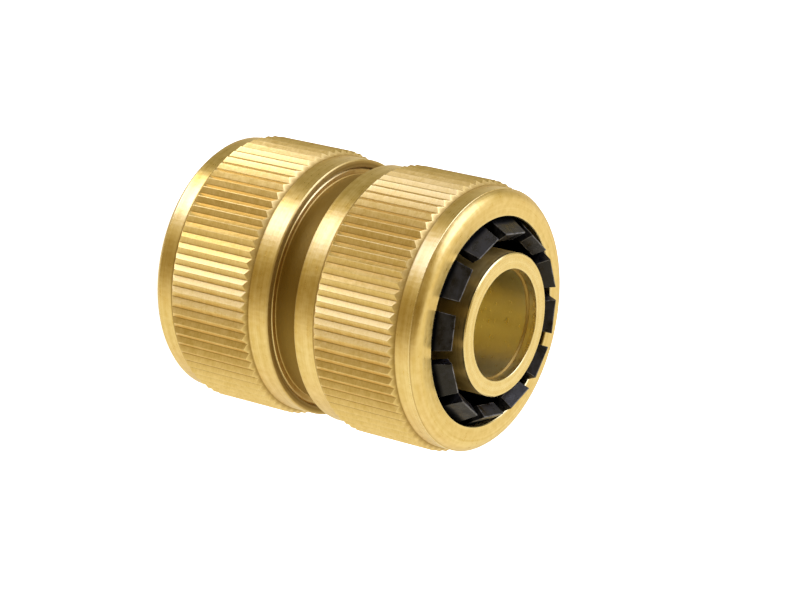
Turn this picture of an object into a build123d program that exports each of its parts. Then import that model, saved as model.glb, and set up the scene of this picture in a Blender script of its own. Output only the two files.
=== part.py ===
"""Brass hose connector, a straight mender that joins two lengths of garden hose.

The turned brass body has a smooth spigot at each end and a threaded flange in the middle. A black plastic
collet with a ring of claws stands round each spigot. A knurled brass nut screws onto the flange over each
collet and wedges its claws down onto the hose.

The connector stands on its lower spigot with its axis along +Z. The origin is the centre of that spigot's
end ring. Each end is drawn as (radius, depth) outlines, where depth runs inwards along the axis from the
spigot's own end, and the upper end is the same drawing turned over. Sizes are in millimetres, angles in
degrees.
"""

import os
from math import asin, cos, pi, radians, sin, sqrt, tan

from build123d import *

FULL_TURN = 360.0

# Spigots and bore
spigot_radius = 9.3
spigot_wall = 2.25
spigot_edge_break = 0.12
bore_entry_step = 0.2
bore_entry_depth = 1.2

# Collets
claw_count = 12
claw_slot_width = 1.8
claw_protrusion = 1.9
claw_tip_land = 0.12
claw_bevel_depth = 1.45
claw_edge_land = 0.2
claw_reach = 1.3
claw_back_depth = 1.45
claw_shoulder_height = 0.9
claw_shoulder_land = 0.6
claw_shoulder_back = 0.8
hose_gap = 1.3
arm_thickness = 1.4
ring_height = 2.6
ring_edge_chamfer = 0.3
ring_hose_clearance = 1.1
slot_floor_height = 1.2

# Nuts
nut_length = 18.75
nut_gap = 4.2
nut_setback = 2.0
nut_wall = 1.07
nut_edge_break = 0.15
mouth_lip = 1.4
mouth_depth = 0.35
mouth_edge_break = 0.1
wedge_angle = 29.0
cavity_step = 0.95
lip_radius = 1.6
lip_depth = 1.0
lip_step = 0.08

# Knurl
knurl_teeth = 76
knurl_height = 0.66
knurl_start = 3.21
knurl_width = 12.44
groove_depth = 0.42
tooth_land = 0.16
upper_knurl_angle = 2.87
lower_knurl_angle = 4.03

# Thread and neck
thread_length = 5.7
thread_inset = 0.15
thread_runout = 2.9
thread_end_chamfer = 0.5
thread_shoulder_chamfer = 0.2
neck_step = 0.9

# Clearances
claw_wedge_clearance = 0.25
claw_cavity_clearance = 0.8
ring_cavity_clearance = 0.4
thread_clearance = 0.05

# Radii, stacked outwards from the spigot
bore_radius = spigot_radius - spigot_wall
bore_entry_radius = bore_radius + bore_entry_step
claw_edge_radius = spigot_radius + hose_gap
arm_inner_radius = claw_edge_radius + claw_reach
arm_outer_radius = arm_inner_radius + arm_thickness
claw_shoulder_radius = arm_outer_radius + claw_shoulder_height
cavity_radius = claw_shoulder_radius + claw_cavity_clearance
ring_inner_radius = spigot_radius + ring_hose_clearance
ring_outer_radius = cavity_radius - ring_cavity_clearance
nut_bore_radius = cavity_radius + cavity_step
thread_radius = nut_bore_radius - thread_clearance
neck_radius = thread_radius - neck_step
band_radius = nut_bore_radius + nut_wall
crest_radius = band_radius + knurl_height
root_radius = crest_radius - groove_depth
mouth_radius = cavity_radius - mouth_lip

# Depths, along the axis from the spigot's end
total_length = nut_gap + 2 * (nut_length + nut_setback)
nut_inner_face = nut_setback + nut_length
mouth_end = nut_setback + mouth_depth
cone_end = mouth_end + mouth_lip / tan(radians(wedge_angle))
knurl_outer_end = nut_setback + knurl_start
knurl_inner_end = knurl_outer_end + knurl_width
thread_shoulder = nut_inner_face - thread_inset
collet_seat = thread_shoulder - thread_length
nut_thread_start = collet_seat - thread_runout

# Each claw is flat on every side, and its outer flank lies along the nut's wedging cone at both corners
claw_pitch = FULL_TURN / claw_count
claw_tip = nut_setback - claw_protrusion
claw_corner_radius = mouth_radius - claw_wedge_clearance / cos(radians(wedge_angle))
claw_corner_angle = radians(claw_pitch / 2) - asin(claw_slot_width / 2 / claw_corner_radius)
claw_mouth_radius = claw_corner_radius * cos(claw_corner_angle)
claw_tip_radius = claw_mouth_radius - (mouth_end - claw_tip) * tan(radians(wedge_angle))
claw_shoulder = claw_tip + (claw_shoulder_radius - claw_tip_radius) / tan(radians(wedge_angle))
ring_top = collet_seat - ring_height


def turned(*edges):
    """A turned solid, from the edges of a closed (radius, depth) outline."""
    return revolve(make_face(Curve() + edges), axis=Axis.Z)


def outline(*points):
    """Straight edges through (radius, depth) points."""
    return Polyline(*[(radius, 0, depth) for radius, depth in points])


def half_body():
    """One end of the body, from its spigot's end ring to the middle of the neck."""
    middle = total_length / 2
    entry_end = bore_entry_depth + bore_entry_step
    return turned(
        outline(
            (bore_radius, middle),
            (bore_radius, entry_end),
            (bore_entry_radius, bore_entry_depth),
            (bore_entry_radius, 0),
            (spigot_radius - spigot_edge_break, 0),
            (spigot_radius, spigot_edge_break),
            (spigot_radius, collet_seat),
            (thread_radius - thread_end_chamfer, collet_seat),
            (thread_radius, collet_seat + thread_end_chamfer),
            (thread_radius, thread_shoulder - thread_shoulder_chamfer),
            (thread_radius - thread_shoulder_chamfer, thread_shoulder),
            (neck_radius, thread_shoulder),
            (neck_radius, middle),
            (bore_radius, middle),
        )
    )


def nut_blank():
    """The nut before knurling: mouth, wedging cone, cavity, threaded bore and the stepped outside."""
    lip_end = nut_setback + lip_depth
    lip_end_radius = band_radius - lip_step
    lip_centre_radius = lip_end_radius - sqrt(lip_radius**2 - (lip_radius - lip_depth) ** 2)
    lip_centre = nut_setback + lip_radius
    lip_middle_angle = radians(FULL_TURN / 8)
    lip_arc = ThreePointArc(
        (lip_centre_radius, 0, nut_setback),
        (
            lip_centre_radius + lip_radius * sin(lip_middle_angle),
            0,
            lip_centre - lip_radius * cos(lip_middle_angle),
        ),
        (lip_end_radius, 0, lip_end),
    )
    outside_and_bore = outline(
        (lip_end_radius, lip_end),
        (band_radius, lip_end),
        (band_radius, knurl_outer_end),
        (crest_radius, knurl_outer_end + knurl_height),
        (crest_radius, knurl_inner_end - knurl_height),
        (band_radius, knurl_inner_end),
        (band_radius, nut_inner_face - nut_edge_break),
        (band_radius - nut_edge_break, nut_inner_face),
        (nut_bore_radius + nut_edge_break, nut_inner_face),
        (nut_bore_radius, nut_inner_face - nut_edge_break),
        (nut_bore_radius, nut_thread_start),
        (cavity_radius, nut_thread_start),
        (cavity_radius, cone_end),
        (mouth_radius, mouth_end),
        (mouth_radius, nut_setback + mouth_edge_break),
        (mouth_radius + mouth_edge_break, nut_setback),
        (lip_centre_radius, nut_setback),
    )
    return turned(lip_arc, outside_and_bore)


def knurl_prism():
    """A toothed bar: V-grooves between teeth whose crests keep a narrow burnished land."""
    pitch_angle = 2 * pi / knurl_teeth
    land_angle = tooth_land / crest_radius
    corners = []
    for tooth in range(knurl_teeth):
        groove = tooth * pitch_angle
        crest = groove + pitch_angle / 2
        corners.append((root_radius * cos(groove), root_radius * sin(groove)))
        for corner in (crest - land_angle / 2, crest + land_angle / 2):
            corners.append((crest_radius * cos(corner), crest_radius * sin(corner)))
    return extrude(make_face(Polyline(*corners, close=True)), total_length / 2)


def nut():
    """A clamping nut, with one groove of its knurl on +X."""
    return nut_blank() & knurl_prism()


def collet_ring():
    """The collet's base ring, which seats on the threaded flange's end face."""
    return turned(
        outline(
            (ring_inner_radius + ring_edge_chamfer, ring_top),
            (ring_outer_radius - ring_edge_chamfer, ring_top),
            (ring_outer_radius, ring_top + ring_edge_chamfer),
            (ring_outer_radius, collet_seat),
            (ring_inner_radius, collet_seat),
            (ring_inner_radius, ring_top + ring_edge_chamfer),
            (ring_inner_radius + ring_edge_chamfer, ring_top),
        )
    )


def claw_slot():
    """The round-bottomed slot between two claws, cut outwards along +X."""
    half_width = claw_slot_width / 2
    slot_end = ring_top - slot_floor_height - half_width
    sides = Polyline((-half_width, slot_end), (-half_width, 0), (half_width, 0), (half_width, slot_end))
    bottom = ThreePointArc((half_width, slot_end), (0, slot_end + half_width), (-half_width, slot_end))
    section = Plane.YZ.offset(spigot_radius) * make_face(Curve() + [sides, bottom])
    return extrude(section, crest_radius - spigot_radius)


def claw():
    """One hooked claw on its arm, with the middle of its flat faces on +X."""
    claw_edge = claw_tip + claw_bevel_depth
    claw_edge_end = claw_edge + claw_edge_land
    shoulder_end = claw_shoulder + claw_shoulder_land
    section = make_face(
        outline(
            (claw_tip_radius - claw_tip_land, claw_tip),
            (claw_tip_radius, claw_tip),
            (claw_shoulder_radius, claw_shoulder),
            (claw_shoulder_radius, shoulder_end),
            (arm_outer_radius, shoulder_end + claw_shoulder_back),
            (arm_outer_radius, ring_top),
            (arm_inner_radius, ring_top),
            (arm_inner_radius, claw_edge_end + claw_back_depth),
            (claw_edge_radius, claw_edge_end),
            (claw_edge_radius, claw_edge),
            (claw_tip_radius - claw_tip_land, claw_tip),
        )
    )
    half_width = crest_radius * tan(radians(claw_pitch / 2))
    sector_corners = [(0, 0), (crest_radius, -half_width), (crest_radius, half_width)]
    sector = extrude(make_face(Polyline(*sector_corners, close=True)), ring_top)
    slot = claw_slot()
    whole = extrude(section, half_width, both=True) & sector
    return whole - Rot(0, 0, claw_pitch / 2) * slot - Rot(0, 0, -claw_pitch / 2) * slot


def collet():
    """A ring of claws on their base ring, with the middle of one claw on +X."""
    one = claw()
    return collet_ring() + [Rot(0, 0, number * claw_pitch) * one for number in range(claw_count)]


def turned_over(part):
    """The same part at the upper end of the connector."""
    return Pos(0, 0, total_length) * Rot(FULL_TURN / 2, 0, 0) * part


clamping_nut = nut()
claw_collet = collet()
lower_half = half_body()

pieces = {
    "connector_body": lower_half + turned_over(lower_half),
    "upper_nut": Rot(0, 0, upper_knurl_angle) * turned_over(clamping_nut),
    "lower_nut": Rot(0, 0, lower_knurl_angle) * clamping_nut,
    "upper_collet": turned_over(claw_collet),
    "lower_collet": claw_collet,
}

os.makedirs("parts", exist_ok=True)
for name, piece in pieces.items():
    export_step(piece, f"parts/{name}.step")
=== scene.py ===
import math

import bmesh
import bpy
import numpy as np
from mathutils import Matrix, Vector


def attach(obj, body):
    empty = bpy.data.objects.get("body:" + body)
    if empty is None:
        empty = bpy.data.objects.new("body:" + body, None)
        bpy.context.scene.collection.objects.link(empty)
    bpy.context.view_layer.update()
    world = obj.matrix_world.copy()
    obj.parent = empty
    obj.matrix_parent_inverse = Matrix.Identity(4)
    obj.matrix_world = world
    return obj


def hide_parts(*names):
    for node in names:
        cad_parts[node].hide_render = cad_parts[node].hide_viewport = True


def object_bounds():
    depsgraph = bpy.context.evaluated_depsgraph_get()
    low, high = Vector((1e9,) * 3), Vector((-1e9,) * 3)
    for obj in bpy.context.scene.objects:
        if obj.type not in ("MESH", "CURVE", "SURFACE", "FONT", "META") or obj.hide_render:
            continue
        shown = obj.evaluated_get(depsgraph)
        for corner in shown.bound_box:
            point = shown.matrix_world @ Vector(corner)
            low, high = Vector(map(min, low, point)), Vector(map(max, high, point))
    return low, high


# A brass hose connector that stands on its lower spigot, with its axis along +Z. The turned pieces are
# drawn again here with their screw threads, fine edges and finish. Sizes are in millimetres, and depths run
# inwards from each end of the connector. Named angles are in degrees, and a full turn is in radians.
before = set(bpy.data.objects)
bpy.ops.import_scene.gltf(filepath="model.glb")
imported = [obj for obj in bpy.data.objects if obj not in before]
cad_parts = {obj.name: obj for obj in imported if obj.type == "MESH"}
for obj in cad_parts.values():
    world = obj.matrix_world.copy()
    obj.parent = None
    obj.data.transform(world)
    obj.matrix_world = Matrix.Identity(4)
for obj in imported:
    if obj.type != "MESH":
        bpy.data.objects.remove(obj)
cad_low, cad_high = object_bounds()

MM = 0.001
FULL_TURN = 2 * math.pi
LENGTH = cad_high[2] / MM

# Nuts, with their radii stacked outwards from the cavity
NUT_FACE = 2.0
NUT_BACK = NUT_FACE + 18.75
CAVITY = 15.0
MOUTH = CAVITY - 1.4
NUT_BORE = CAVITY + 0.95
BAND = NUT_BORE + 1.07
CREST = BAND + 0.66
MOUTH_END = NUT_FACE + 0.35
WEDGE_ANGLE = 29.0
CONE_END = MOUTH_END + (CAVITY - MOUTH) / math.tan(math.radians(WEDGE_ANGLE))
LIP_RADIUS = 1.6
LIP_DEPTH = 1.0
LIP_STEP = 0.08
LIP_CENTRE = BAND - LIP_STEP - math.sqrt(LIP_RADIUS**2 - (LIP_RADIUS - LIP_DEPTH) ** 2)
LIP_ROWS = 10
NUT_EDGE = 0.15
MOUTH_EDGE = 0.1

# Knurl
TEETH = 76
TOOTH_HEIGHT = 0.42
CREST_LAND_SHARE = 0.036
KNURL_START = NUT_FACE + 3.21
KNURL_END = KNURL_START + 12.44
KNURL_ANGLE = {"upper_nut": 2.87, "lower_nut": 4.03}

# Body
SPIGOT = 9.3
WATERWAY = SPIGOT - 2.25
ENTRY = WATERWAY + 0.2
ENTRY_DEPTH = 1.2
SHOULDER = NUT_BACK - 0.15
SEAT = SHOULDER - 5.7
THREAD = NUT_BORE - 0.05
NECK = THREAD - 0.9
ENTRY_EDGE = 0.05
SPIGOT_EDGE = 0.14
SEAT_FILLET = 0.1
THREAD_CHAMFER = 0.5
SHOULDER_CHAMFER = 0.2
NECK_FILLET = 0.12
BODY_COLUMNS = 192

# Screw thread
PITCH = 1.5
THREAD_START = SEAT - 2.9
OUTER_THREAD_DEPTH = 0.78
INNER_THREAD_DEPTH = 0.6
THREAD_FLAT_SHARE = 0.1
BODY_ROWS_PER_PITCH = 10
NUT_ROWS_PER_PITCH = 8

# Collets
CLAW_EASING = 0.09


# Meshes

def row(radius, depth, wear=0.0, shade=0.0):
    """One row of points round the axis. Wear is 1 where an edge is rubbed bright. Shade is painted: 1 is
    painted shade in a recess, gap or groove, and -1 paints the bore paler, as painted light. Each is a
    number, or an array with a number for each column."""
    return radius, depth, wear, shade


def turn_over(rows):
    """The same rows at the other end, in the order that keeps the outline running one way."""
    return [row(radius, LENGTH - depth, wear, shade) for radius, depth, wear, shade in reversed(rows)]


def thread_rows(low, high, radius, cut, columns, fades, shade, rows_per_pitch):
    """Rows along a right-handed V thread that is cut from a radius, outwards if the cut is positive. Each
    row follows the helix and is held level at the thread's ends. The cut fades in and out there, over the
    two lengths in fades."""
    rounding = 1e-6
    turn = np.arange(columns) / columns
    step = PITCH / rows_per_pitch
    count = rows_per_pitch + math.ceil((high - low) / step - rounding)
    rows = []
    for number in range(count + 1):
        depth = np.clip(low + (number - rows_per_pitch) * step + PITCH * turn, low, high)
        phase = ((depth - low) / PITCH - turn) % 1.0
        flank = (np.minimum(phase, 1 - phase) - THREAD_FLAT_SHARE / 2) / (0.5 - THREAD_FLAT_SHARE)
        groove = np.clip(flank, 0, 1)
        ends = np.clip((depth - low) / fades[0], 0, 1) * np.clip((high - depth) / fades[1], 0, 1)
        rows.append(row(radius + cut * groove * ends, depth, wear=0.3 * (1 - groove), shade=shade))
    return rows


def turned_object(name, blocks, angles):
    """A closed turned mesh, with a column of points at each angle, in radians. blocks is a list of
    (rows, lead). The lead is the number of rows that the outline moves on in one turn: 0 for level rows, and
    the rows in one pitch for a thread."""
    all_rows = []
    seam = []
    for rows, lead in blocks:
        first = len(all_rows)
        last = first + len(rows) - 1
        seam += [min(first + number + lead, last) for number in range(len(rows))]
        all_rows += rows
    table = np.array([[np.broadcast_to(values, angles.shape) for values in each] for each in all_rows])
    radius, height, wear, shade = table.transpose(1, 0, 2)
    points = np.stack([radius * np.cos(angles), radius * np.sin(angles), height], -1) * MM
    index = np.arange(radius.size).reshape(radius.shape)
    right = np.roll(index, -1, axis=1)
    right[:, -1] = index[seam, 0]
    quads = np.stack([index, right, np.roll(right, -1, axis=0), np.roll(index, -1, axis=0)], -1)
    mesh = bpy.data.meshes.new(name)
    mesh.from_pydata(points.reshape(-1, 3).tolist(), [], quads.reshape(-1, 4).tolist())
    for label, values in (("wear", wear), ("shade", shade)):
        layer = mesh.attributes.new(label, "FLOAT", "POINT")
        layer.data.foreach_set("value", values.reshape(-1).astype(np.float32))
    return finished(name, mesh, sharp_angle=22)


def finished(name, mesh, sharp_angle):
    """Joins coincident points, turns every face outwards and smooths all but the sharp edges."""
    join_distance = 0.001 * MM
    least_edge = 0.0001 * MM
    bm = bmesh.new()
    bm.from_mesh(mesh)
    bmesh.ops.remove_doubles(bm, verts=bm.verts, dist=join_distance)
    bmesh.ops.dissolve_degenerate(bm, edges=bm.edges, dist=least_edge)
    bmesh.ops.recalc_face_normals(bm, faces=bm.faces)
    bm.to_mesh(mesh)
    bm.free()
    mesh.shade_smooth()
    mesh.set_sharp_from_angle(angle=math.radians(sharp_angle))
    piece = bpy.data.objects.new(name, mesh)
    bpy.context.scene.collection.objects.link(piece)
    weights = piece.modifiers.new("weights", "WEIGHTED_NORMAL")
    weights.keep_sharp = True
    return piece


# Body

def body_end():
    """From the middle of the waterway, out through the entry, over the end ring and down the spigot to the
    flange's end face."""
    step_end = ENTRY_DEPTH + ENTRY - WATERWAY
    step_shadow = 0.2
    inner_ring = ENTRY + 0.45
    bright_ring = ENTRY + 1.0
    outer_ring = SPIGOT - 0.5
    recess_start = 0.5
    recess_end = 2.2
    # Painted light: the bore and entry are painted paler. Painted shade marks the entry's step, deepens down
    # the spigot towards the flange between the claws, and lies on the thread's chamfer.
    return [
        row(WATERWAY, LENGTH / 2, shade=-1),
        row(WATERWAY, step_end + step_shadow, shade=-1),
        row(WATERWAY, step_end, shade=0.9),
        row(ENTRY, ENTRY_DEPTH, shade=0.9),
        row(ENTRY, ENTRY_DEPTH - step_shadow, shade=-1),
        row(ENTRY, ENTRY_EDGE, wear=0.6, shade=-0.3),
        row(ENTRY + ENTRY_EDGE, 0, wear=0.6, shade=-0.3),
        row(inner_ring, 0, wear=0.3, shade=0.03),
        row(bright_ring, 0, wear=1),
        row(outer_ring, 0, wear=0.3),
        row(SPIGOT - SPIGOT_EDGE, 0, wear=1),
        row(SPIGOT, SPIGOT_EDGE, wear=1),
        row(SPIGOT, recess_start, shade=0.5),
        row(SPIGOT, recess_end, shade=0.9),
        row(SPIGOT, SEAT - SEAT_FILLET, shade=1),
        row(SPIGOT + SEAT_FILLET, SEAT, shade=1),
        row(THREAD - THREAD_CHAMFER, SEAT, wear=0.3, shade=0.6),
        row(THREAD, SEAT + THREAD_CHAMFER, wear=0.3, shade=0.3),
    ]


def body_middle():
    """From the threaded flange's shoulder to the middle of the neck."""
    # Painted shade: full on the neck between the nuts, and some on the shoulder.
    return [
        row(THREAD, SHOULDER - SHOULDER_CHAMFER, wear=0.4, shade=0.1),
        row(THREAD - SHOULDER_CHAMFER, SHOULDER, wear=0.4, shade=0.1),
        row(NECK + NECK_FILLET, SHOULDER, shade=0.3),
        row(NECK, SHOULDER + NECK_FILLET, shade=1),
        row(NECK, LENGTH / 2, shade=1),
    ]


def body_thread(low, high):
    # The thread gets some painted shade.
    return thread_rows(
        low, high, THREAD, -OUTER_THREAD_DEPTH,
        columns=BODY_COLUMNS, fades=(0.5, 0.5), shade=0.3, rows_per_pitch=BODY_ROWS_PER_PITCH,
    )


def make_body(name):
    """The turned body in one piece, with the same spigot and flange at both ends."""
    chamfer_gap = 0.06
    low = SEAT + THREAD_CHAMFER + chamfer_gap
    high = SHOULDER - SHOULDER_CHAMFER - chamfer_gap
    end = body_end()
    middle = body_middle()
    blocks = [
        (end, 0),
        (body_thread(low, high), BODY_ROWS_PER_PITCH),
        (middle, 0),
        (turn_over(middle)[1:], 0),
        (body_thread(LENGTH - high, LENGTH - low), BODY_ROWS_PER_PITCH),
        (turn_over(end)[:-1], 0),
    ]
    angles = np.arange(BODY_COLUMNS) / BODY_COLUMNS * FULL_TURN
    return turned_object(name, blocks, angles)


# Nuts

def nut_inside():
    """From the mouth down the wedging cone and the cavity to the start of the thread."""
    # The wedging cone and the cavity get painted shade.
    return [
        row(MOUTH, MOUTH_END, wear=0.3, shade=0.2),
        row(CAVITY, CONE_END, shade=0.6),
        row(CAVITY, THREAD_START, shade=0.6),
        row(NUT_BORE, THREAD_START, shade=0.6),
    ]


def nut_thread(columns):
    start_gap = 0.1
    end_gap = 0.2
    # The thread gets painted shade.
    return thread_rows(
        THREAD_START + start_gap, NUT_BACK - end_gap, NUT_BORE, INNER_THREAD_DEPTH,
        columns=columns, fades=(0.8, 0.4), shade=0.5, rows_per_pitch=NUT_ROWS_PER_PITCH,
    )


def nut_back():
    """From the threaded bore over the back face to the inner band."""
    face_shadow = 0.6
    band_shadow = 0.4
    # Painted shade: the back face faces the gap between the nuts and is darkest across its middle, fading
    # onto the band.
    return [
        row(NUT_BORE, NUT_BACK - NUT_EDGE, wear=0.3, shade=0.8),
        row(NUT_BORE + NUT_EDGE, NUT_BACK, wear=0.3, shade=1),
        row(BAND - face_shadow, NUT_BACK, shade=1),
        row(BAND - NUT_EDGE, NUT_BACK, wear=0.1, shade=0.5),
        row(BAND, NUT_BACK - NUT_EDGE, wear=0.2, shade=0.2),
        row(BAND, NUT_BACK - band_shadow),
    ]


def knurl(tooth, crest, groove):
    """Along the knurl from the inner band to the outer one, with the teeth chamfered at 45 degrees at both
    ends. The arrays give each column's radius, whether it is on a crest, and how much painted shade it gets."""
    foot_shadow = 0.2
    end_fade = 0.4
    rise = tooth - BAND
    # Painted shade runs along the knurl's foot on the band and down each groove.
    return [
        row(BAND, KNURL_END + foot_shadow),
        row(BAND, KNURL_END, shade=0.8),
        row(tooth, KNURL_END - rise, wear=0.2 + 0.3 * crest, shade=0.6 * groove),
        row(tooth, KNURL_END - rise - end_fade, wear=0.3 * crest, shade=groove),
        row(tooth, KNURL_START + rise + end_fade, wear=0.3 * crest, shade=groove),
        row(tooth, KNURL_START + rise, wear=0.2 + 0.3 * crest, shade=0.6 * groove),
        row(BAND, KNURL_START, shade=0.8),
        row(BAND, KNURL_START - foot_shadow),
    ]


def nut_lip():
    """Over the small step at the end of the outer band, and round the lip."""
    step_edge = 0.04
    band_wear = 0.2
    lip_end = NUT_FACE + LIP_DEPTH
    rows = [
        row(BAND, lip_end + band_wear),
        row(BAND, lip_end + step_edge, wear=1),
        row(BAND - step_edge, lip_end, wear=1),
    ]
    first_angle = math.asin((LIP_RADIUS - LIP_DEPTH) / LIP_RADIUS)
    for angle in np.linspace(first_angle, FULL_TURN / 4, LIP_ROWS):
        radius = LIP_CENTRE + LIP_RADIUS * math.cos(angle)
        depth = NUT_FACE + LIP_RADIUS * (1 - math.sin(angle))
        # The lip's first row, just past the step, gets painted shade: a dark streak.
        rows.append(row(radius, depth, shade=0.5 if angle == first_angle else 0))
    return rows


def nut_mouth():
    """In over the flat face to the mouth."""
    face_margin = 0.3
    return [
        row(LIP_CENTRE - face_margin, NUT_FACE),
        row(MOUTH + face_margin, NUT_FACE),
        row(MOUTH + MOUTH_EDGE, NUT_FACE, wear=1),
        row(MOUTH, NUT_FACE + MOUTH_EDGE, wear=1),
    ]


def make_nut(name, node):
    """A clamping nut, with its columns laid along the knurl. Each tooth has one at the bottom of its groove,
    two up each flank, and two at the edges of the narrow land on its crest."""
    low_flank = 0.07
    high_flank = 0.41
    crest_edge = (1 - CREST_LAND_SHARE) / 2
    up = np.array([0, low_flank, high_flank, crest_edge])
    share = np.concatenate([up, 1 - up[:0:-1]])
    height = TOOTH_HEIGHT * np.clip(np.minimum(share, 1 - share) / crest_edge, 0, 1)
    # Painted shade at the bottom of each groove, fading out up the flanks.
    painted_shade_heights = (0, 0.063, 0.37)
    painted_shade_levels = (0.8, 0.1, 0)
    tooth = np.tile(CREST - TOOTH_HEIGHT + height, TEETH)
    crest = np.tile(np.isclose(height, TOOTH_HEIGHT), TEETH) * 1.0
    groove = np.tile(np.interp(height, painted_shade_heights, painted_shade_levels), TEETH)
    angles = (np.arange(TEETH)[:, None] + share).reshape(-1) * FULL_TURN / TEETH
    blocks = [
        (nut_inside(), 0),
        (nut_thread(len(angles)), NUT_ROWS_PER_PITCH),
        (nut_back() + knurl(tooth, crest, groove) + nut_lip() + nut_mouth(), 0),
    ]
    piece = turned_object(name, blocks, angles)
    mark_knurled(piece.data)

    place = Matrix.Rotation(math.radians(KNURL_ANGLE[node]), 4, "Z")
    if node == "upper_nut":
        place = place @ Matrix.Translation((0, 0, LENGTH * MM)) @ Matrix.Rotation(math.pi, 4, "X")
    piece.data.transform(place)
    return piece


def mark_knurled(mesh):
    """Gives the faces that stand out past the bands the second material, the knurl's."""
    margin = 0.06
    centres = np.empty(len(mesh.polygons) * 3)
    mesh.polygons.foreach_get("center", centres)
    radius = np.hypot(centres[0::3], centres[1::3])
    knurled = radius > (BAND + margin) * MM
    mesh.polygons.foreach_set("material_index", knurled.astype(np.int32))


# Collets

def make_collet(name, node):
    """The CAD collet's own form with its moulded edges eased."""
    join_distance = 0.002 * MM
    flat_angle = math.radians(2)
    edge_angle = math.radians(24)
    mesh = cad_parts[node].data.copy()
    mesh.materials.clear()
    bm = bmesh.new()
    bm.from_mesh(mesh)
    wear = bm.faces.layers.float.new("wear")
    bmesh.ops.remove_doubles(bm, verts=bm.verts, dist=join_distance)
    bmesh.ops.dissolve_limit(bm, angle_limit=flat_angle, verts=bm.verts, edges=bm.edges)
    edges = [edge for edge in bm.edges if edge.is_manifold and edge.calc_face_angle(0) > edge_angle]
    eased = bmesh.ops.bevel(
        bm, geom=edges, offset=CLAW_EASING * MM, offset_type="OFFSET", segments=2, profile=0.5,
        affect="EDGES", clamp_overlap=True, miter_outer="ARC",
    )
    for face in eased["faces"]:
        face[wear] = 1
    bmesh.ops.triangulate(bm, faces=[face for face in bm.faces if len(face.verts) > 4])
    bm.to_mesh(mesh)
    bm.free()
    mesh.name = name
    return finished(name, mesh, sharp_angle=50)


# Materials

class Nodes:
    """A small helper that adds and links shader nodes."""

    def __init__(self, tree):
        self.tree = tree

    def feed(self, socket, value):
        """Links a socket to another node's output, or sets it to a number or colour."""
        if isinstance(value, bpy.types.NodeSocket):
            self.tree.links.new(value, socket)
        else:
            socket.default_value = value

    def feed_all(self, node, values):
        """Feeds a node's sockets by name."""
        for name, value in values.items():
            self.feed(node.inputs[name], value)

    def add(self, kind, *inputs, **settings):
        """A new node with some settings, whose first sockets are fed in order."""
        node = self.tree.nodes.new(kind)
        for name, value in settings.items():
            setattr(node, name, value)
        for socket, value in zip(node.inputs, inputs):
            self.feed(socket, value)
        return node

    def math(self, operation, *inputs, clamp=False):
        return self.add("ShaderNodeMath", *inputs, operation=operation, use_clamp=clamp).outputs[0]

    def scaled(self, value, factor, clamp=False):
        return self.math("MULTIPLY", value, factor, clamp=clamp)

    def total(self, *values, clamp=False):
        """The sum of the values, held between 0 and 1 if clamp is set."""
        result = values[0]
        for value in values[1:-1]:
            result = self.math("ADD", result, value)
        return self.math("ADD", result, values[-1], clamp=clamp)

    def spread(self, value, low, high):
        """How far a value is from low to high, from 0 to 1."""
        return self.add("ShaderNodeMapRange", value, low, high, 0.0, 1.0).outputs[0]

    def mix(self, factor, first, second):
        node = self.add("ShaderNodeMix", factor, data_type="RGBA")
        first_colour, second_colour = node.inputs[6], node.inputs[7]
        self.feed(first_colour, first)
        self.feed(second_colour, second)
        return node.outputs[2]

    def noise(self, place, scale, detail, fourth=None):
        """Soft noise from 0 to 1, with a fourth coordinate if one is given."""
        node = self.add("ShaderNodeTexNoise")
        self.feed_all(node, {"Vector": place, "Scale": scale, "Detail": detail})
        if fourth is not None:
            node.noise_dimensions = "4D"
            self.feed(node.inputs["W"], fourth)
        return node.outputs["Fac"]

    def attribute(self, name):
        return self.add("ShaderNodeAttribute", attribute_name=name).outputs["Fac"]

    def scaled_vector(self, vector, factor):
        node = self.add("ShaderNodeVectorMath", vector, operation="SCALE")
        self.feed(node.inputs["Scale"], factor)
        return node.outputs[0]

    def place_in_millimetres(self):
        return self.scaled_vector(self.add("ShaderNodeTexCoord").outputs["Object"], 1 / MM)

    def bump(self, height, depth):
        """The normal of a surface that is raised by a height from 0 to 1, times a depth in millimetres."""
        node = self.add("ShaderNodeBump")
        self.feed_all(node, {"Strength": 1.0, "Distance": depth * MM, "Height": height})
        return node.outputs[0]


def material(name):
    made = bpy.data.materials.new(name)
    made.use_nodes = True
    return made, Nodes(made.node_tree), made.node_tree.nodes["Principled BSDF"]


# Brass

DARK_BRASS = (0.74, 0.505, 0.14, 1)
PALE_BRASS = (0.93, 0.695, 0.27, 1)
WARM_BRASS = (0.88, 0.62, 0.19, 1)
# The colour of painted shade, then the paler colour of painted light in the bore
PAINTED_SHADE_BRASS = (0.32, 0.188, 0.028, 1)
PAINTED_LIGHT_BRASS = (0.955, 0.83, 0.41, 1)
RUBBED_BRASS = (0.97, 0.80, 0.39, 1)
ROUND_AXIS_DRIFT = 0.02


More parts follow.
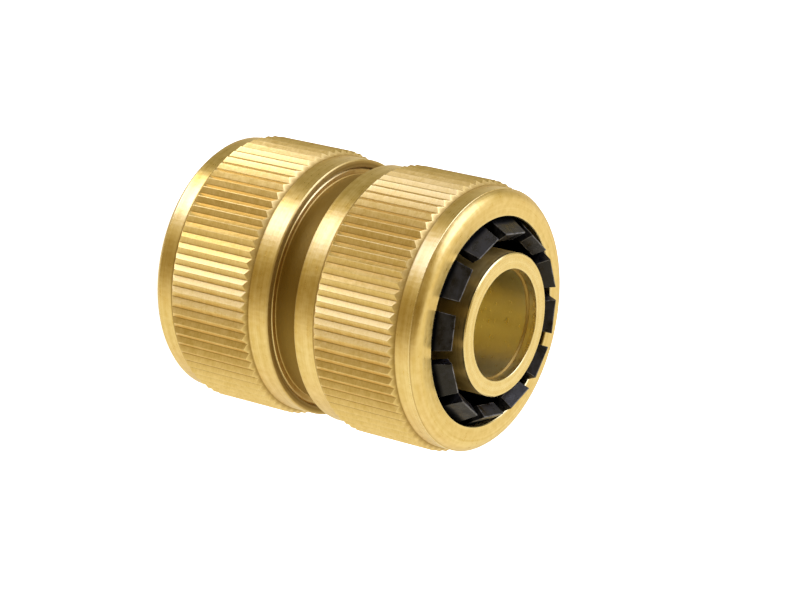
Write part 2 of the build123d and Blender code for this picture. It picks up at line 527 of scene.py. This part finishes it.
def brass(name, roughness, bands, stretch):
    """Turned brass: fine marks round the axis, soft blotches, edges rubbed bright, and painted shade and
    painted light from the mesh's shade attribute. bands is the strength of the broad rings, and stretch is
    how far the marks draw reflections out across them."""
    made, nodes, shader = material(name)
    place = nodes.place_in_millimetres()
    x, y, z = nodes.add("ShaderNodeSeparateXYZ", place).outputs
    radius = nodes.math("SQRT", nodes.total(nodes.math("MULTIPLY", x, x), nodes.math("MULTIPLY", y, y)))
    x_drift = nodes.scaled(x, ROUND_AXIS_DRIFT)
    y_drift = nodes.scaled(y, ROUND_AXIS_DRIFT)
    round_axis = nodes.add("ShaderNodeCombineXYZ", x_drift, y_drift, z).outputs[0]
    fine_rings = nodes.noise(round_axis, scale=5.0, detail=3.0, fourth=radius)
    broad_rings = nodes.noise(round_axis, scale=1.1, detail=2.0, fourth=radius)
    blotch = nodes.noise(place, scale=0.22, detail=3.0)
    mottle = nodes.noise(place, scale=1.1, detail=3.0)
    grain = nodes.noise(place, scale=5.0, detail=1.0)
    wear = nodes.attribute("wear")
    shade = nodes.attribute("shade")

    ring_share = 0.3
    mottle_share = 0.35
    blotch_share = 0.35
    painted_shade_share = 0.9
    painted_light_share = 1.0
    rubbed_share = 0.4
    contrast = 0.1
    middle = (ring_share + bands + mottle_share) / 2
    tone = nodes.total(
        nodes.scaled(fine_rings, ring_share),
        nodes.scaled(broad_rings, bands),
        nodes.scaled(mottle, mottle_share),
    )
    colour = nodes.mix(nodes.spread(tone, middle - contrast, middle + contrast), DARK_BRASS, PALE_BRASS)
    colour = nodes.mix(nodes.scaled(blotch, blotch_share), colour, WARM_BRASS)
    # Painted shade: positive shade darkens recesses, gaps and grooves. Painted light: negative shade makes
    # the bore paler.
    colour = nodes.mix(nodes.scaled(shade, painted_shade_share, clamp=True), colour, PAINTED_SHADE_BRASS)
    colour = nodes.mix(nodes.scaled(shade, -painted_light_share, clamp=True), colour, PAINTED_LIGHT_BRASS)
    colour = nodes.mix(nodes.scaled(wear, rubbed_share), colour, RUBBED_BRASS)
    nodes.feed(shader.inputs["Base Color"], colour)
    shader.inputs["Metallic"].default_value = 1.0

    ring_grip = 0.12
    mottle_grip = 0.16
    recess_grip = 0.3
    rubbed_polish = 0.06
    rough = nodes.total(
        nodes.scaled(fine_rings, ring_grip),
        nodes.scaled(mottle, mottle_grip),
        roughness - (ring_grip + mottle_grip) / 2,
        nodes.scaled(shade, recess_grip, clamp=True),
        nodes.scaled(wear, -rubbed_polish),
        clamp=True,
    )
    nodes.feed(shader.inputs["Roughness"], rough)
    shader.inputs["Anisotropic"].default_value = stretch
    shader.inputs["Anisotropic Rotation"].default_value = 0.25
    tangent = nodes.add("ShaderNodeTangent", direction_type="RADIAL", axis="Z").outputs[0]
    nodes.feed(shader.inputs["Tangent"], tangent)

    grain_height = 0.2
    mottle_height = 0.8
    height = nodes.total(fine_rings, nodes.scaled(grain, grain_height), nodes.scaled(mottle, mottle_height))
    nodes.feed(shader.inputs["Normal"], nodes.bump(height, depth=0.025))
    return made


# Plastic

DEEP_BLACK = (0.003, 0.003, 0.0035, 1)
DUSTY_BLACK = (0.016, 0.0165, 0.019, 1)
EDGE_GREY = (0.20, 0.19, 0.17, 1)
PAINTED_SHADE_BLACK = (0.001, 0.001, 0.001, 1)
GLOSS_TINT = (1, 0.84, 0.54, 1)
PAINTED_SHADE_TINT = (0.03, 0.03, 0.03, 1)
RECESS_START, RECESS_END = 1.6, 2.1


def plastic(name):
    """Moulded black plastic, satin with a faint mottle, with painted shade below the claws' faces: darker
    and without gloss towards the nut's mouth.
    """
    made, nodes, shader = material(name)
    place = nodes.place_in_millimetres()
    mottle = nodes.spread(nodes.noise(place, scale=0.9, detail=5.0), low=0.35, high=0.65)
    grain = nodes.noise(place, scale=5.0, detail=3.0)
    along_axis = nodes.add("ShaderNodeSeparateXYZ", place).outputs["Z"]
    from_middle = nodes.math("ABSOLUTE", nodes.math("SUBTRACT", along_axis, LENGTH / 2))
    depth = nodes.math("SUBTRACT", LENGTH / 2, from_middle)
    # Painted shade: the claws darken and lose their gloss from RECESS_START to RECESS_END in from the end,
    # where the nut's mouth shades them.
    mouth_shade = nodes.spread(depth, RECESS_START, RECESS_END)

    colour = nodes.mix(mottle, DEEP_BLACK, DUSTY_BLACK)
    colour = nodes.mix(nodes.math("MULTIPLY", nodes.attribute("wear"), mottle), colour, EDGE_GREY)
    colour = nodes.mix(mouth_shade, colour, PAINTED_SHADE_BLACK)
    nodes.feed(shader.inputs["Base Color"], colour)

    least_rough = 0.18
    mottle_grip = 0.34
    recess_grip = 0.4
    rough = nodes.total(
        nodes.scaled(mottle, mottle_grip),
        least_rough,
        nodes.scaled(mouth_shade, recess_grip),
        clamp=True,
    )
    nodes.feed(shader.inputs["Roughness"], rough)
    shader.inputs["Specular IOR Level"].default_value = 0.31
    nodes.feed(shader.inputs["Specular Tint"], nodes.mix(mouth_shade, GLOSS_TINT, PAINTED_SHADE_TINT))

    mottle_height = 0.5
    grain_height = 0.5
    height = nodes.total(nodes.scaled(mottle, mottle_height), nodes.scaled(grain, grain_height))
    nodes.feed(shader.inputs["Normal"], nodes.bump(height, depth=0.05))
    return made


# The connector

turned_brass = brass("turned_brass", roughness=0.31, bands=0.35, stretch=0.65)
knurled_brass = brass("knurled_brass", roughness=0.39, bands=0.0, stretch=0.0)
black_plastic = plastic("black_plastic")
nut_finish = [turned_brass, knurled_brass]

dressed = [
    (make_body("turned_body"), "connector_body", "body", "turned_brass", [turned_brass]),
    (make_nut("near_knurled_nut", "upper_nut"), "upper_nut", "upper_nut", "knurled_brass", nut_finish),
    (make_nut("far_knurled_nut", "lower_nut"), "lower_nut", "lower_nut", "knurled_brass", nut_finish),
]
for name, node in (("near_claw_ring", "upper_collet"), ("far_claw_ring", "lower_collet")):
    dressed.append((make_collet(name, node), node, node, "black_plastic", [black_plastic]))
for piece, node, body, slot, finish in dressed:
    for one in finish:
        piece.data.materials.append(one)
    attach(piece, body)
    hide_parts(node)


# Camera

CAMERA_PLACE = (67.968, 314.930, 238.646)
CAMERA_FORWARD = (-0.17684, -0.81971, -0.54479)
CAMERA_UP = (0.97783, -0.08325, -0.19215)
FOCAL_LENGTH = 133.66
SENSOR_WIDTH = 36.0


def make_camera(scene):
    """The photograph's view, in which the connector lies on its side."""
    lens = bpy.data.cameras.new("photo_camera")
    lens.sensor_width = SENSOR_WIDTH
    lens.lens = FOCAL_LENGTH
    lens.clip_start = 0.01
    lens.clip_end = 20.0
    camera = bpy.data.objects.new("photo_camera", lens)
    forward = Vector(CAMERA_FORWARD).normalized()
    right = forward.cross(Vector(CAMERA_UP)).normalized()
    up = right.cross(forward).normalized()
    turn = Matrix((right, up, -forward)).transposed().to_4x4()
    camera.matrix_world = Matrix.Translation(Vector(CAMERA_PLACE) * MM) @ turn
    scene.collection.objects.link(camera)
    scene.camera = camera


# Floor, just below the reach of the lower nut and collet as they unscrew

FLOOR_HEIGHT = -5.3
FLOOR_HALF_WIDTH = 4000


def make_floor(scene):
    """A plain pale floor that the brass doesn't mirror."""
    half = FLOOR_HALF_WIDTH * MM
    height = FLOOR_HEIGHT * MM
    corners = [(-half, -half, height), (half, -half, height), (half, half, height), (-half, half, height)]
    mesh = bpy.data.meshes.new("floor")
    mesh.from_pydata(corners, [], [(0, 1, 2, 3)])
    floor = bpy.data.objects.new("floor", mesh)
    scene.collection.objects.link(floor)
    paper, nodes, shader = material("floor_paper")
    nodes.feed_all(shader, {
        "Base Color": (0.9, 0.9, 0.9, 1),
        "Roughness": 0.9,
        "Emission Color": (1, 1, 1, 1),
        "Emission Strength": 1.0,
    })
    mesh.materials.append(paper)
    floor.visible_glossy = False
    floor.visible_shadow = False
    return floor


# Studio light

LAMP_PLACE = (42, 27, -21)
LAMP_AIM = (-0.703, -0.457, 0.545)
LAMP_DIAMETER = 30


def make_lamp(scene):
    """A weak disk of light, low at the far side."""
    disk = bpy.data.lights.new("low_lamp", "AREA")
    disk.shape = "DISK"
    disk.size = LAMP_DIAMETER * MM
    disk.energy = 0.0045
    disk.color = (0.95, 0.97, 1.0)
    lamp = bpy.data.objects.new("low_lamp", disk)
    turn = Vector(LAMP_AIM).to_track_quat("-Z", "Y").to_matrix().to_4x4()
    lamp.matrix_world = Matrix.Translation(Vector(LAMP_PLACE) * MM) @ turn
    lamp.visible_camera = False
    scene.collection.objects.link(lamp)


# The walls' glow: azimuth and colour
WALLS = [
    (0, (0.41, 0.34, 0.17)),
    (30, (0.46, 0.40, 0.25)),
    (58, (0.42, 0.36, 0.21)),
    (78, (0.28, 0.21, 0.08)),
    (94, (0.25, 0.185, 0.07)),
    (108, (0.45, 0.38, 0.24)),
    (122, (0.92, 0.87, 0.78)),
    (135, (1.06, 1.03, 0.99)),
    (165, (1.06, 1.02, 0.98)),
    (205, (0.90, 0.87, 0.83)),
    (245, (1.10, 1.07, 1.02)),
    (275, (0.94, 0.88, 0.74)),
    (300, (0.46, 0.43, 0.30)),
    (335, (0.36, 0.33, 0.21)),
]

# Soft lights: azimuth, elevation, the angles from its middle where each starts and ends its fade, and
# colour. The one with a negative colour takes light away.
LIGHTS = [
    (33, -36, 8, 36, (0.55, 0.56, 0.55)),
    (34, -36, 0, 20, (0.85, 1.25, 3.7)),
    (84, -40, 0, 34, (0.13, 0.12, 0.09)),
    (245, -25, 5, 45, (-0.16, -0.20, -0.32)),
    (-22, 43, 16, 48, (0.62, 0.64, 0.64)),
    (-16, 42, 4, 32, (1.6, 2.0, 4.2)),
]


def wall_light(nodes, direction):
    """The walls' glow, blended smoothly from one azimuth to the next."""
    parts = nodes.add("ShaderNodeSeparateXYZ", direction).outputs
    turns = nodes.math("DIVIDE", nodes.math("ARCTAN2", parts["Y"], parts["X"]), FULL_TURN)
    turns = nodes.math("FRACT", nodes.total(turns, 1.0))
    ramp = nodes.add("ShaderNodeValToRGB", turns)
    ramp.color_ramp.interpolation = "B_SPLINE"
    stops = ramp.color_ramp.elements
    while len(stops) < len(WALLS):
        stops.new(0.5)
    for stop, (azimuth, colour) in zip(stops, WALLS):
        stop.position = azimuth / 360
        stop.color = (*colour, 1)
    return ramp.outputs[0]


def softbox(nodes, direction, light, azimuth, elevation, inner, outer, colour):
    """Adds a round soft light, in the direction from the object, that fades between two angles."""
    around = math.radians(azimuth)
    above = math.radians(elevation)
    toward = (math.cos(around) * math.cos(above), math.sin(around) * math.cos(above), math.sin(above))
    nearness = nodes.add("ShaderNodeVectorMath", direction, toward, operation="DOT_PRODUCT").outputs["Value"]
    edge = math.cos(math.radians(outer))
    full = math.cos(math.radians(inner))
    fade = nodes.add("ShaderNodeMapRange", nearness, edge, full, interpolation_type="SMOOTHSTEP").outputs[0]
    glow = nodes.scaled_vector(colour, fade)
    return nodes.add("ShaderNodeVectorMath", light, glow, operation="ADD").outputs[0]


def make_world(scene):
    """Plain soft studio light from the walls all round, with the soft lights over it."""
    world = bpy.data.worlds.new("studio")
    scene.world = world
    world.use_nodes = True
    nodes = Nodes(world.node_tree)
    direction = nodes.add("ShaderNodeTexCoord").outputs["Generated"]
    light = wall_light(nodes, direction)
    for values in LIGHTS:
        light = softbox(nodes, direction, light, *values)
    background = world.node_tree.nodes["Background"]
    nodes.feed(background.inputs["Color"], light)
    background.inputs["Strength"].default_value = 1.0


scene = bpy.context.scene
make_camera(scene)
make_floor(scene)
make_lamp(scene)
make_world(scene)
scene.view_settings.view_transform = "Standard"
scene.view_settings.look = "None"
